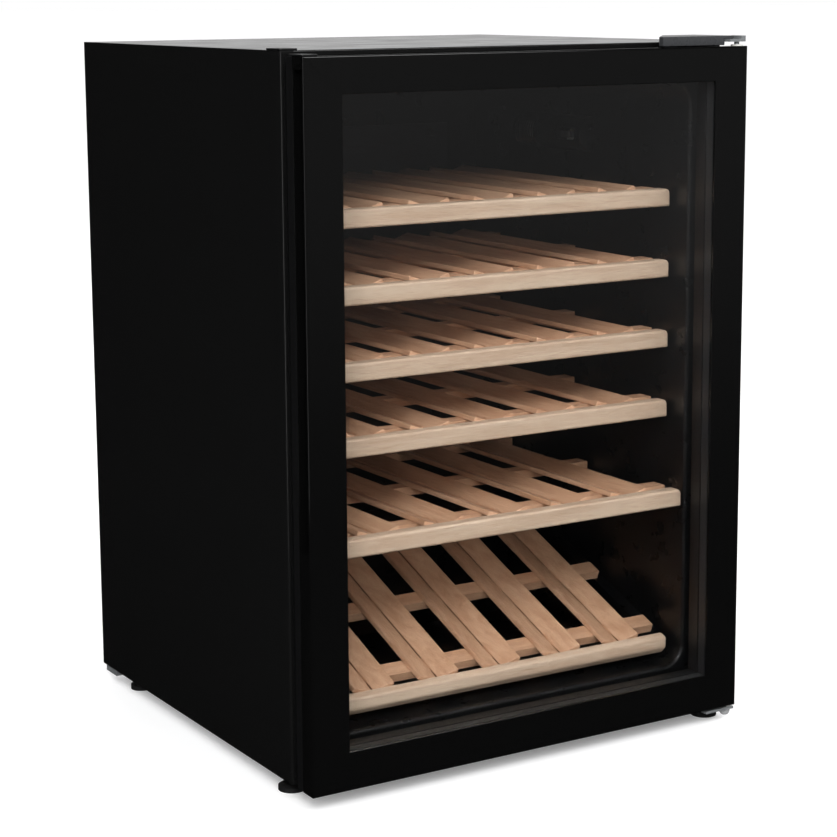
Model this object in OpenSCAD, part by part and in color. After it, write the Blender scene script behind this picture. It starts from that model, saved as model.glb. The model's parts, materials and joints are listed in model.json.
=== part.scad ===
// Free-standing wine cooler: steel cabinet, glass door, sliding beech shelves.
// +X is the user's right, the door faces -Y and +Z is up.
// The origin is on the floor, under the middle of the object.

/* [Cabinet] */
// Width of the cabinet and of the door
cab_w = 595; // [480:5:720]
// Depth of the cabinet behind the door
cab_d = 530; // [440:5:640]
// Height of the cabinet above its feet
cab_h = 814; // [676:2:980]
// Height of the feet under the cabinet
foot_h = 20; // [18:1:40]
// Thickness of the steel sheet
sheet_t = 0.8; // [0.6:0.1:1.2]
// Width of the folded edges of the sheets
fold_w = 16; // [10:1:20]

/* [Insulated walls] */
// Side wall, from the outside to the liner
wall_side = 47.5; // [38:0.5:58]
// Top wall, from the outside to the liner
wall_top = 48; // [38:1:58]
// Back wall, from the outside to the liner
wall_back = 60; // [45:1:75]
// Floor, from the underside to the liner
wall_floor = 49; // [38:1:58]
// Wall between the liner and the compressor space
wall_hump = 32; // [25:1:40]
// Thickness of the moulded liner
liner_t = 2; // [1.5:0.1:3]
// Corner radius of the liner
liner_r = 26; // [15:1:28]

/* [Compressor space] */
// Depth of the compressor space
space_d = 180; // [170:1:200]
// Height of the compressor space
space_h = 168; // [140:1:202]
// Height of the 45 degree slope at the front of the hump
hump_slope = 45; // [30:1:60]

/* [Door] */
// How far the door's top edge stays below the cabinet's top
door_drop = 5; // [2:0.5:12]
// Thickness of the door
door_t = 38; // [32:1:46]
// Gap between the door and the cabinet, filled by the gasket
seal_gap = 12; // [9:0.5:16]
// Visible width of the stiles
stile_w = 47; // [40:1:60]
// Visible width of the top rail
rail_top_w = 40.5; // [34:0.5:60]
// Visible width of the bottom rail
rail_bottom_w = 45; // [36:0.5:60]
// Thickness of the ring that holds the panes, behind them
ring_t = 3.1; // [2:0.1:5]
// Thickness of the lip in front of the glass
lip_t = 2.5; // [2:0.1:4]
// Width of the lip over the glass
lip_w = 8; // [6:0.5:12]
// Thickness of each pane
glass_t = 3.2; // [3:0.1:5]
// Gap between the panes
pane_gap = 12; // [10:0.5:14.5]
// Radius of the outer front edges
edge_r = 2; // [1:0.1:3]
// Height of the lower end of the grip recess above the door's bottom edge
grip_z = 275; // [100:5:500]
// Depth of the grip recess, into the side of the door
grip_deep = 14; // [10:1:20]
// Width of the grip recess, across the side of the door
grip_w = 20; // [16:0.5:21]
// Width of the gasket
gasket_w = 11; // [9:0.5:12]
// Distance of the gasket from the door's edges
gasket_in = 9; // [9:0.5:14]

/* [Hinges] */
// Distance of the hinge axis from the side of the door
hinge_in = 8; // [7.5:0.5:12]
// Distance of the hinge axis behind the front of the door
hinge_back = 11; // [10:0.5:14]
// Radius of the hinge pins
pin_r = 3; // [2.5:0.1:3.5]
// Length of the hinge pins inside the door
pin_len = 16; // [10:1:25]
// Radial running clearance of pins and stems
run_c = 0.05; // [0.02:0.01:0.1]
// Outer radius of the hinge bushes
bush_r = 5; // [4.5:0.1:6]
// Thickness of the hinge plates
plate_t = 3; // [2:0.5:4]
// Width of the top hinge cover
cover_w = 105; // [90:1:130]
// Width of the top hinge's cover at its back
cover_inner = 50; // [46:1:60]
// Depth of the cover's inner end
cover_end = 8; // [6:1:12]
// How far the top hinge cover reaches over the cabinet
cover_back = 36; // [32:1:60]
// Height of the hinge cover above the cabinet
cover_h = 7; // [6.5:0.5:12]

/* [Shelves] */
// Depth of the top shelf's fascia below the ceiling
top_bay = 128; // [110:1:160]
// Distance between the two lowest sliding shelves
low_bay = 106.8; // [90:0.2:120]
// Height of the lowest sliding shelf's fascia above the hump
low_shelf_rise = 72; // [60:1:90]
// How far the lowest sliding shelf is pulled out at rest
low_shelf_out = 30; // [0:1:30]
// Distance of the fascias behind the front of the cabinet
shelf_in = 28; // [26:1:40]
// Gap between the sliding shelves and the back wall
shelf_back = 42; // [30:1:90]
// Gap between a shelf's ends and the liner
shelf_gap = 5.5; // [4:0.5:10]
// Height of a fascia
fascia_h = 21.5; // [18:0.5:22]
// Thickness of a fascia
fascia_t = 16; // [12:1:22]
// Edge radius of a fascia
fascia_r = 4; // [2:0.5:6]
// Distance between the bottle cradles
cradle_pitch = 88; // [84:1:96]
// Width of a slat
slat_w = 27; // [20:1:30]
// Thickness of a slat
slat_t = 6; // [5:0.5:7]
// Tilt of a slat
slat_tilt = 19; // [10:1:22]
// Gap in the middle of a cradle
slat_gap = 1.5; // [1:0.5:4]
// Width of a cross batten
batten_w = 22; // [16:1:30]
// Slope of the display shelf
display_tilt = 20.5; // [15:0.5:21]
// Clearance between the display shelf and the hump
display_clear = 3; // [2:0.5:20]
// Height of the display fascia's lower edge above the underside of the cabinet
display_z = 56; // [55:0.5:60]
// How much further the display shelf's ends stay from the liner
display_gap = 5; // [4:0.5:10]
// Clearance under a sliding shelf
slide_c = 0.4; // [0.3:0.1:1]

/* [Controls and lamp] */
// Radius of the half-round control housing
housing_r = 23; // [20:0.5:26]
// Length of the housing's control part
housing_len = 102; // [95:1:120]
// Length of the lamp lens
lens_len = 50; // [30:1:70]
// Depth of the housing's middle below the ceiling
housing_drop = 72; // [50:1:90]
// Distance of the housing behind the front of the cabinet
housing_in = 193; // [120:1:240]
// Radius of the thermostat dial
dial_r = 20; // [18:0.5:20]
// Thickness of the thermostat dial
dial_t = 8; // [6:0.5:10]

/* [Hidden] */

$fn = 48;
eps = 0.01;            // small overlap where cuts run past a face
half_w = cab_w / 2;

// planes from front to back
y_front = -(door_t + seal_gap + cab_d) / 2;
frame_d = lip_t + 2 * glass_t + pane_gap + ring_t;    // depth of the front frame
y_frame = y_front + frame_d;
y_door = y_front + door_t;
y_cab = y_door + seal_gap;
y_back = y_cab + cab_d;
y_wall = y_back - wall_back;
y_space = y_back - space_d;
y_hump = y_space - wall_hump;

// levels from the floor up
z_bot = foot_h;
z_top = z_bot + cab_h;
z_floor = z_bot + wall_floor;
z_ceil = z_top - wall_top;
z_roof = z_bot + space_h;
z_hump = z_roof + wall_hump;
z_door = z_top - door_drop;

in_x = half_w - wall_side;             // half the width inside the liner
flange_x = half_w - fold_w - 0.3;      // half the width of the liner's front flange
flange_low = z_bot + fold_w + 0.3;
flange_high = z_top - fold_w - 0.3;

hinge_x = half_w - hinge_in;
hinge_y = y_front + hinge_back;

shelf_x = in_x - shelf_gap;            // half the width of a shelf
display_x = shelf_x - display_gap;
display_h = 24;                        // height of the display shelf's fascia
y_display = y_cab + 22;
y_shelf = y_cab + shelf_in;
shelf_d = y_wall - shelf_back - y_shelf;    // depth of a sliding shelf
cradles = floor(2 * shelf_x / cradle_pitch);
slat_low = 4;                          // a cradle's lowest line, below the fascia's top
slat_x = slat_gap / 2;
batten_low = slat_low + slat_t + 2.5;    // a batten's underside, below the fascia's top
batten_top = 1.5;                      // a batten's top, below the fascia's top
batten_in = 18;                        // the first batten, behind the fascia
display_len = (y_hump - y_display - display_clear) / cos(display_tilt)
    + (display_h - slat_low - slat_t) * tan(display_tilt);
ledge_w = 16;                          // the liner's side ledges
ledge_h = 8;
z_low = z_hump + low_shelf_rise;
shelf_pitch = (z_ceil - top_bay - low_bay - z_low) / 3;    // between the four upper shelves
shelf_z = concat([for (n = [0:3]) z_ceil - top_bay - n * shelf_pitch], [z_low]);
shelf_out = [0, 0, 0, 0, low_shelf_out];

steel = "dimgray";
black = [0.07, 0.07, 0.075];
beech = [0.80, 0.67, 0.53];
copper = [0.72, 0.45, 0.30];

// ---- helpers ----

module slab(x0, x1, y0, y1, z0, z1) translate([x0, y0, z0]) cube([x1 - x0, y1 - y0, z1 - z0]);

// extrudes a plan in X and Z between two Y planes
module along_y(y0, y1) translate([0, y1, 0]) rotate([90, 0, 0]) linear_extrude(y1 - y0) children();

// extrudes a section in Y and Z between two X planes
module along_x(x0, x1) translate([x0, 0, 0]) rotate([90, 0, 90]) linear_extrude(x1 - x0) children();

// extrudes a plan in X and Y between two levels
module along_z(z0, z1) translate([0, 0, z0]) linear_extrude(z1 - z0) children();

module both_sides() { children(); mirror([1, 0, 0]) children(); }

function arc(cx, cy, r, a0, a1, steps = 6) =
    [for (k = [0:steps]) let (a = a0 + (a1 - a0) * k / steps) [cx + r * cos(a), cy + r * sin(a)]];

// a flat rectangle with round corners
module round_rect(x0, x1, z0, z1, r) {
    translate([x0 + r, z0]) square([x1 - x0 - 2 * r, z1 - z0]);
    translate([x0, z0 + r]) square([x1 - x0, z1 - z0 - 2 * r]);
    for (x = [x0 + r, x1 - r]) for (z = [z0 + r, z1 - r]) translate([x, z]) circle(r = r);
}

// a tube of straight runs with brazed elbows
module pipe(points, r) {
    for (k = [0:len(points) - 2]) {
        a = points[k];
        d = points[k + 1] - a;
        translate(a) rotate([0, acos(d.z / norm(d)), atan2(d.y, d.x)]) cylinder(r = r, h = norm(d), $fn = 20);
    }
    for (k = [1:max(1, len(points) - 2)]) translate(points[k]) sphere(r = r * 1.2, $fn = 20);
}

// a screw with a domed head that stands on the point given, its shank below
module screw(at, r = 2.5, len = 8, head_h = 2.4) translate(at) {
    translate([0, 0, -len]) cylinder(r = r, h = len + eps);
    difference() {
        cylinder(r1 = r * 1.9, r2 = r * 1.5, h = head_h);
        translate([0, 0, head_h - 1]) cylinder(r = r * 0.7, h = 2, $fn = 6);
    }
}

// ---- cabinet shell ----

bend_r = 3;            // outer bend radius of the side panels' front edges
fit_c = 0.2;           // gap between neighbouring sheets
chassis_d = 60;        // depth of the front cross-member
chassis_h = 30;
stem_r = 4;            // threaded stems of the front feet
foot_r = 16;
foot_left_at = [-half_w + 20, y_cab + 38];
foot_right_at = [half_w - 17.5, y_front + 40];
gland_z = z_bot + 60;  // middle of the power inlet
gland_x = -half_w + 98;
cover_y = y_back - 8;  // inner face of the compartment cover
tray_t = 1.5;

// a skin with folded front and back edges
module side_panel_left() color(black) along_z(z_bot, z_top - sheet_t) polygon(concat(
    arc(-half_w + bend_r, y_cab + bend_r, bend_r, 180, 270),
    [[-half_w + fold_w, y_cab], [-half_w + fold_w, y_cab + sheet_t]],
    arc(-half_w + bend_r, y_cab + bend_r, bend_r - sheet_t, 270, 180),
    [[-half_w + sheet_t, y_back - sheet_t], [-half_w + fold_w, y_back - sheet_t],
     [-half_w + fold_w, y_back], [-half_w, y_back]]));
module side_panel_right() mirror([1, 0, 0]) side_panel_left();

// lies on the side panels, its front and back edges folded down between theirs
module top_panel() color(black) difference() {
    union() {
        slab(-half_w, half_w, y_cab + bend_r, y_back, z_top - sheet_t, z_top);
        slab(-half_w + bend_r, half_w - bend_r, y_cab, y_cab + bend_r, z_top - sheet_t, z_top);
        for (y = [y_cab, y_back - sheet_t])
            slab(-half_w + fold_w + fit_c, half_w - fold_w - fit_c, y, y + sheet_t, z_top - fold_w, z_top);
    }
    for (at = hinge_screws_at) translate([at.x, at.y, z_top - 5]) cylinder(r = screw_r, h = 10);
}

module back_panel() color(black)
    slab(-half_w + fold_w + fit_c, half_w - fold_w - fit_c, y_back - sheet_t, y_back, z_roof + fit_c,
        z_top - fold_w - fit_c);

// floor, front wall and roof of the compressor space in one folded sheet
module bottom_panel() color(steel) difference() {
    along_x(-half_w + sheet_t, half_w - sheet_t) polygon([
        [y_cab + chassis_d + fit_c, z_bot], [y_space, z_bot], [y_space, z_roof - sheet_t],
        [y_back - sheet_t, z_roof - sheet_t], [y_back - sheet_t, z_roof], [y_space - sheet_t, z_roof],
        [y_space - sheet_t, z_bot + sheet_t], [y_cab + chassis_d + fit_c, z_bot + sheet_t]]);
    translate([drain_at.x, drain_at.y, z_roof - 5]) cylinder(r = drain_r, h = 10);
}

// a channel behind the bottom front edge, with a threaded boss for the left foot
module front_crossmember() color(black) difference() {
    union() {
        along_x(-half_w + fold_w + fit_c, half_w - fold_w - fit_c) polygon([
            [y_cab, z_bot], [y_cab + chassis_d, z_bot], [y_cab + chassis_d, z_bot + chassis_h],
            [y_cab + chassis_d - 2, z_bot + chassis_h], [y_cab + chassis_d - 2, z_bot + 2],
            [y_cab + 2, z_bot + 2], [y_cab + 2, z_bot + fold_w], [y_cab, z_bot + fold_w]]);
        translate([foot_left_at.x, foot_left_at.y, z_bot + 1]) cylinder(r = 3 * stem_r, h = 15);
    }
    translate([foot_left_at.x, foot_left_at.y, z_bot - 5]) cylinder(r = stem_r + run_c, h = 40);
    for (at = bracket_screws_at) translate([at.x, at.y, z_bot - 5]) cylinder(r = screw_r, h = 10);
}

module compressor_tray() color(steel) difference() {
    union() {
        slab(-half_w + sheet_t, half_w - sheet_t, y_space + fit_c, cover_y, z_bot, z_bot + tray_t);
        // skids under its back corners
        both_sides() slab(-half_w + 1, -half_w + 16, y_back - 40, cover_y, z_bot - 8, z_bot + eps);
    }
    for (at = compressor_feet) translate([at.x, at.y, z_bot - 5]) cylinder(r = 3, h = 20);
}

// slotted sheet that closes the compressor space
slot_pitch = 26;
module compartment_cover() color(black) difference() {
    slab(-half_w + sheet_t + fit_c, half_w - sheet_t - fit_c, cover_y, cover_y + 1, z_bot,
        z_roof - sheet_t - fit_c);
    for (x = [gland_x + 50:slot_pitch:half_w - 40]) for (z = [z_bot + 25, z_bot + 90])
        translate([x, cover_y + 3, z]) rotate([90, 0, 0]) linear_extrude(6) {
            translate([-2.5, 0]) square([5, 50]);
            for (end = [0, 50]) translate([0, end]) circle(r = 2.5);
        }
    slab(gland_x - 14, gland_x + 14, cover_y - 5, cover_y + 5, gland_z - 11, gland_z + 11);
}

// appliance inlet with three pins
module power_inlet() color([0.12, 0.12, 0.12]) {
    difference() {
        union() {
            slab(gland_x - 14, gland_x + 14, cover_y - 20, cover_y + 1, gland_z - 11, gland_z + 11);
            slab(gland_x - 22, gland_x + 22, cover_y + 1, cover_y + 3, gland_z - 14, gland_z + 14);
        }
        slab(gland_x - 12, gland_x + 12, cover_y - 14, cover_y + 5, gland_z - 8.5, gland_z + 8.5);
    }
    for (pin = [[-7, -2], [0, 2], [7, -2]])
        slab(gland_x + pin.x - 1, gland_x + pin.x + 1, cover_y - 14 - eps, cover_y - 5, gland_z + pin.y - 2,
            gland_z + pin.y + 2);
}

module blanking_cap() color(black)
    along_z(z_top, z_top + 2) round_rect(-half_w + 0.5, -half_w + 22, y_cab + 1, y_cab + 34, 2);

module rear_feet() color("black") both_sides() translate([-half_w + 24, y_back - 68, 0]) {
    cylinder(r = 14, h = 6);
    cylinder(r = 10, h = z_bot);
}

module levelling_foot(at, top) color("black") translate([at.x, at.y, 0]) {
    cylinder(r = foot_r, h = 5);
    translate([0, 0, 5 - eps]) cylinder(r1 = foot_r, r2 = foot_r - 5, h = 3);
    cylinder(r = stem_r, h = top);
}
module front_foot_left() levelling_foot(foot_left_at, z_bot + chassis_h - 2);
module front_foot_right() levelling_foot(foot_right_at, z_bot - 2.2);

// ---- liner, insulation and cooling plate ----

// the hump over the compressor space, its faces moved outwards by g
bevel_k = sqrt(2) - 1;
function hump(g) = [
    [y_hump + g, z_bot - 10], [y_hump + g, z_hump - hump_slope - bevel_k * g],
    [y_hump + hump_slope + bevel_k * g, z_hump - g], [y_back + 10, z_hump - g], [y_back + 10, z_bot - 10]];

// the storage space, its walls moved outwards by g
module cavity(g, y0) difference() {
    along_y(y0, y_wall + g) round_rect(-in_x - g, in_x + g, z_floor - g, z_ceil + g, liner_r + g);
    along_x(-cab_w, cab_w) polygon(hump(g));
}

ledge_y0 = y_shelf + fascia_t + 1;
module side_ledges() both_sides() {
    for (z = shelf_z)
        slab(in_x - ledge_w, in_x + liner_t / 2, ledge_y0, y_wall - 20, z - batten_low - slide_c - ledge_h,
            z - batten_low - slide_c);
    display_place() slab(in_x - ledge_w, in_x + liner_t / 2, fascia_t + batten_in, display_len,
        display_h - batten_low - ledge_h, display_h - batten_low);
}

module inner_liner() color([0.10, 0.10, 0.11]) difference() {
    union() {
        difference() {
            union() {
                slab(-flange_x, flange_x, y_cab, y_cab + liner_t, flange_low, flange_high);
                cavity(liner_t, y_cab);
            }
            cavity(0, y_cab - 1);
        }
        side_ledges();
    }
    control_pocket(in_x - 1, in_x + liner_t + 1);
    translate([drain_at.x, drain_at.y, z_hump - 10]) cylinder(r = drain_r, h = 20);
}

// foam between the skins and the liner
module insulation_foam() color([0.90, 0.85, 0.65]) difference() {
    slab(-half_w + sheet_t, half_w - sheet_t, y_cab + bend_r + fit_c, y_back - sheet_t, z_bot + sheet_t,
        z_top - sheet_t);
    cavity(liner_t, y_cab);
    slab(-cab_w, cab_w, y_cab - 1, y_cab + chassis_d, z_bot - 1, z_bot + chassis_h);
    slab(-cab_w, cab_w, y_space - sheet_t, y_back + 1, z_bot - 1, z_roof);
    control_pocket(in_x, in_x + pocket_d);
    translate([drain_at.x, drain_at.y, z_roof - 5]) cylinder(r = drain_r, h = wall_hump + 10);
}

// cold plate on the back wall, with raised refrigerant channels
plate_x = in_x - 50;
plate_z0 = z_hump + 30;
plate_z1 = z_ceil - 68;
channel_pitch = (plate_z1 - plate_z0 - 60) / 8;
clip_at = [for (x = [-plate_x + 25, plate_x - 25]) for (z = [plate_z0 + 12, plate_z1 - 12]) [x, z]];
module evaporator_plate() color([0.14, 0.14, 0.15]) difference() {
    union() {
        slab(-plate_x, plate_x, y_wall - 6, y_wall - 4, plate_z0, plate_z1);
        for (k = [0:8]) slab(-plate_x + 20, plate_x - 20, y_wall - 7.5, y_wall - 5,
            plate_z0 + 26 + k * channel_pitch, plate_z0 + 34 + k * channel_pitch);
        for (k = [0:7]) let (side = k % 2 == 0 ? 1 : -1)
            slab(side * (plate_x - 24) - 4, side * (plate_x - 24) + 4, y_wall - 7.5, y_wall - 5,
                plate_z0 + 30 + k * channel_pitch, plate_z0 + 30 + (k + 1) * channel_pitch);
    }
    for (at = clip_at) translate([at.x, y_wall, at.y]) rotate([90, 0, 0]) cylinder(r = 2.5, h = 20);
}
module evaporator_clips() color("black")
    for (at = clip_at) translate([at.x, y_wall, at.y]) rotate([90, 0, 0]) {
        cylinder(r = 6, h = 4);
        cylinder(r = 2.5, h = 7);
        translate([0, 0, 6]) cylinder(r1 = 5.5, r2 = 4.5, h = 2.5);
    }

// ---- controls and lamp ----

y_housing = y_cab + housing_in;
y_lens = y_housing + housing_len;
z_housing = z_ceil - housing_drop;
slot_y = y_housing + 32;               // middle of the dial's slot
slot_len = 46;
slot_h = 14;
dial_at = [in_x - housing_r - 2 + dial_r, slot_y, z_housing];
pocket_d = 18;                         // depth of the recess behind the housing
pocket_h = 18;
shaft_r = 3;
shaft_len = 8;
module control_pocket(x0, x1)
    slab(x0, x1, slot_y - dial_r - 4, slot_y + dial_r + 4, z_housing - pocket_h, z_housing + pocket_h);

// half a round bar against the right wall
module half_bar(y0, y1, r) intersection() {
    translate([in_x, y1, z_housing]) rotate([90, 0, 0]) cylinder(r = r, h = y1 - y0);
    slab(in_x - 2 * r, in_x, y0, y1, z_housing - 2 * r, z_housing + 2 * r);
}
module slot_shape(grow) translate([in_x - 2 * housing_r, slot_y, z_housing]) rotate([90, 0, 90])
    linear_extrude(2 * housing_r) {
        translate([-slot_len / 2 + slot_h / 2, -slot_h / 2 - grow])
            square([slot_len - slot_h, slot_h + 2 * grow]);
        for (side = [-1, 1]) translate([side * (slot_len - slot_h) / 2, 0]) circle(r = slot_h / 2 + grow);
    }
module control_housing() color([0.13, 0.13, 0.14]) difference() {
    union() {
        half_bar(y_housing, y_lens, housing_r);
        // raised rim round the slot
        intersection() { half_bar(y_housing, y_lens, housing_r + 1); slot_shape(1.6); }
    }
    half_bar(y_housing + 2, y_lens + 1, housing_r - 2);
    slab(in_x - housing_r + 4, in_x + 1, y_housing + 2, y_lens + 1, z_housing - 6, z_housing + 6);
    slot_shape(0);
}
module thermostat_body() color("gainsboro") difference() {
    slab(in_x - 12, in_x + pocket_d, slot_y - 11, slot_y + 11, z_housing - 16, z_housing - dial_t / 2 - 1);
    translate([dial_at.x, dial_at.y, z_housing - 13]) cylinder(r = shaft_r + run_c, h = 20);
}
module thermostat_dial() color([0.2, 0.2, 0.2]) translate(dial_at) {
    difference() {
        translate([0, 0, -dial_t / 2]) cylinder(r = dial_r, h = dial_t);
        for (a = [0:15:345]) rotate(a) translate([dial_r + 0.6, 0, -dial_t])
            cylinder(r = 1.6, h = 2 * dial_t, $fn = 16);
    }
    translate([0, 0, -dial_t / 2 - shaft_len]) cylinder(r = shaft_r, h = shaft_len + 1);
}
module led_board() color("white") {
    slab(in_x - 1.6, in_x, y_lens + 3, y_lens + lens_len - 5, z_housing - 10, z_housing + 10);
    for (k = [1:3]) translate([in_x - 3, y_lens + k * lens_len / 4 - 2.5, z_housing - 2.5]) cube([2, 5, 5]);
}
module lamp_lens() color([0.9, 0.92, 0.94, 0.5]) difference() {
    union() {
        half_bar(y_lens, y_lens + lens_len, housing_r - 1);
        for (y = [y_lens + 2:5:y_lens + lens_len - 4]) half_bar(y, y + 2.5, housing_r);
    }
    half_bar(y_lens - 1, y_lens + lens_len - 2, housing_r - 3);
}

// ---- compressor and its pipes ----

compressor_at = [half_w - 165, y_space + 88];
compressor_z = z_bot + tray_t;
grommet_h = 12;
compressor_feet = [for (x = [-72, 72]) for (y = [-48, 48]) compressor_at + [x, y]];
pot_r = 68;
pot_h = space_h - 44;                  // leaves room for the drip tray and its air
pot_z = compressor_z + grommet_h + 3;
seam_z = 56;                           // weld seam of the pot
drain_at = [compressor_at.x, y_wall - 15];
drain_r = 6;
module at_compressor(z) translate([compressor_at.x, compressor_at.y, z]) children();
module compressor() color([0.08, 0.08, 0.08]) {
    difference() {
        at_compressor(pot_z - 3) along_z(0, 3 + eps) round_rect(-84, 84, -60, 60, 12);
        for (at = compressor_feet) translate([at.x, at.y, z_bot]) cylinder(r = 3, h = 40);
    }
    at_compressor(pot_z) rotate_extrude() polygon([
        [0, 0], [pot_r - 10, 0], [pot_r, 10], [pot_r, seam_z], [pot_r + 3, seam_z + 1],
        [pot_r + 3, seam_z + 5], [pot_r, seam_z + 6],
        [pot_r - 2, pot_h - 32], [pot_r - 10, pot_h - 16], [pot_r - 28, pot_h - 5], [pot_r - 50, pot_h],
        [0, pot_h]]);
}
module compressor_grommets() color([0.2, 0.2, 0.2])
    for (at = compressor_feet) translate([at.x, at.y, compressor_z]) difference() {
        cylinder(r = 9, h = grommet_h);
        translate([0, 0, -1]) cylinder(r = 3, h = grommet_h + 2);
    }
module compressor_bolts() color("silver") for (at = compressor_feet) translate([at.x, at.y, z_bot]) {
    cylinder(r = 3, h = tray_t + grommet_h + 6);
    translate([0, 0, tray_t + grommet_h + 3]) cylinder(r = 5.5, h = 4, $fn = 6);
    translate([0, 0, -2.5]) cylinder(r = 5.5, h = 2.5, $fn = 6);
}
module terminal_box() color([0.15, 0.15, 0.15]) difference() {
    slab(compressor_at.x - pot_r - 26, compressor_at.x - pot_r + 12, compressor_at.y - 24,
        compressor_at.y + 24, pot_z + 12, pot_z + 54);
    at_compressor(pot_z) cylinder(r = pot_r + fit_c, h = pot_h);
}
module drip_tray() color([0.85, 0.85, 0.85]) at_compressor(pot_z + pot_h) difference() {
    along_z(0, 14) round_rect(-70, 70, -52, 52, 10);
    translate([0, 0, 2]) along_z(0, 14) round_rect(-68, 68, -50, 50, 8);
}
module drain_tube() color("gray") translate([drain_at.x, drain_at.y, z_roof - 4]) difference() {
    cylinder(r = drain_r, h = z_hump - z_roof + 4);
    translate([0, 0, -1]) cylinder(r = drain_r - 1.5, h = wall_hump + 20);
}
drier_at = [-60, y_space + 24, z_bot + 96];
drier_len = 90;
module filter_drier() color(copper) translate(drier_at) rotate([0, 90, 0]) rotate_extrude() polygon([
    [0, 0], [3.5, 0], [3.5, 8], [9.5, 18], [9.5, drier_len - 18], [3.5, drier_len - 8], [3.5, drier_len],
    [0, drier_len]]);
pipe_r = 2.4;
module refrigerant_pipes() color(copper) {
    stub = [compressor_at.x - pot_r, compressor_at.y - 34, pot_z + 80];
    // hot gas to the condenser, then liquid from the drier into the wall
    pipe([stub + [14, 0, 0], stub + [-50, 0, 0], stub + [-50, 20, 28],
        [-half_w + 40, stub.y + 20, stub.z + 28], [-half_w + 40, stub.y + 20, z_roof - sheet_t]], pipe_r);
    pipe([drier_at + [drier_len, 0, 0], drier_at + [drier_len + 20, 0, 0],
        [drier_at.x + drier_len + 20, drier_at.y, z_roof - sheet_t]], pipe_r);
    pipe([drier_at, drier_at - [40, 0, 0], [drier_at.x - 40, drier_at.y, z_roof - sheet_t]], pipe_r);
    // cold gas back from the evaporator
    pipe([stub + [14, 68, 0], stub + [-30, 68, 0], [stub.x - 30, stub.y + 68, z_roof - sheet_t]], pipe_r);
}
// hot tube foamed in behind both side panels
coil_x = half_w - sheet_t - 3;
coil_runs = 6;
module condenser_tube() color(copper) both_sides() pipe(
    [for (k = [0:2 * coil_runs - 1]) let (run = floor(k / 2), up = (k % 4 == 1) || (k % 4 == 2))
        [-coil_x, y_cab + 50 + run * (cab_d - 90) / (coil_runs - 1), up ? z_top - 50 : z_roof + 40]],
    pipe_r);

// ---- hinges ----

screw_r = 2.5;
hinge_screws_at = [for (x = [52, 40, 28]) [half_w - x, y_cab + 18]];
bracket_screws_at = [for (y = [18, 44]) [half_w - 30, y_cab + y]];
cover_x1 = half_w - 11;
cover_y0 = y_front + 12;
module hinge_axis(z) translate([hinge_x, hinge_y, z]) children();

module hinge_plate_top() color(steel) {
    difference() {
        union() {
            slab(half_w - 60, half_w - 20, y_cab + 6, y_cab + 30, z_top, z_top + plate_t);
            slab(half_w - 24, half_w - 1, hinge_y - 8, y_cab + 30, z_top, z_top + plate_t);
            // stop lug at the outer corner
            slab(half_w - 7, half_w - 1, hinge_y - 8, hinge_y + 12, z_top, z_top + cover_h);
        }
        for (at = hinge_screws_at) translate([at.x, at.y, z_top - 5]) cylinder(r = screw_r, h = 20);
    }
    hinge_axis(z_door - pin_len) cylinder(r = pin_r, h = z_top - z_door + pin_len + 1);
}
// plan of the cover, narrower towards the back, and the same plan drawn in by a wall
function cover_plan(in) = let(
    x0 = cover_x1 - cover_w, back = y_cab + cover_back, taper = cover_w - cover_inner,
    run = back - cover_y0 - cover_end, shift = in * norm([taper, run]) / run)
    [[x0 + in, cover_y0 + in], [cover_x1 - in, cover_y0 + in], [cover_x1 - in, back - in],
     [x0 + taper + shift - in * taper / run, back - in], [x0 + in, cover_y0 + cover_end + (in - shift) * run / taper]];
module hinge_cover_top() color([0.30, 0.30, 0.31]) difference() {
    union() {
        along_z(z_top, z_top + cover_h) polygon(cover_plan(0));
        intersection() {
            along_z(z_door + 1, z_top + cover_h) polygon(cover_plan(0));
            slab(cover_x1 - cover_w - 1, cover_x1 + 1, cover_y0 - 1, y_cab - fit_c, z_door, z_top + cover_h + 1);
        }
    }
    // hollow inside, open below, with a notch for the plate on the outer side
    along_z(z_door - 1, z_top + cover_h - 1.8) polygon(cover_plan(1.8));
    slab(cover_x1 - 5, cover_x1 + 1, cover_y0 - 1, y_cab + 30.5, z_door - 1, z_top + plate_t + fit_c);
    slab(half_w - 25, half_w, cover_y0 - 1, cover_y0 + 5, z_door - 1, z_top + plate_t + fit_c);
}
module hinge_screws() color("silver") {
    for (at = hinge_screws_at) screw([at.x, at.y, z_top + plate_t], screw_r, plate_t + sheet_t, 2);
    for (at = bracket_screws_at) translate([0, 0, z_bot - plate_t]) mirror([0, 0, 1])
        screw([at.x, at.y, 0], screw_r, plate_t + 2, 2);
}
module hinge_bracket_bottom() color([0.45, 0.45, 0.46]) difference() {
    along_x(half_w - 44, half_w - 1) polygon([
        [y_front + 2, z_bot - 2 - plate_t], [y_cab - 4, z_bot - 2 - plate_t], [y_cab + 1, z_bot - plate_t],
        [y_cab + 58, z_bot - plate_t], [y_cab + 58, z_bot], [y_cab + 0.5, z_bot], [y_cab - 4.5, z_bot - 2],
        [y_front + 2, z_bot - 2]]);
    hinge_axis(0) cylinder(r = pin_r, h = z_bot + 5);
    translate([foot_right_at.x, foot_right_at.y, 0]) cylinder(r = stem_r + run_c, h = z_bot + 5);
    for (at = bracket_screws_at) translate([at.x, at.y, 0]) cylinder(r = screw_r, h = z_bot + 5);
}
dome_r = 6.5;
module hinge_pin_bottom() color("silver") hinge_axis(0) {
    translate([0, 0, z_bot - 2 - plate_t]) cylinder(r = pin_r, h = 2 + plate_t + pin_len);
    translate([0, 0, z_bot - 2 - plate_t - 3]) cylinder(r = dome_r, h = 3);
    difference() {
        translate([0, 0, z_bot - 2 - plate_t - 3]) sphere(r = dome_r);
        translate([-10, -10, z_bot - 2 - plate_t - 3]) cube(20);
    }
}
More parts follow.
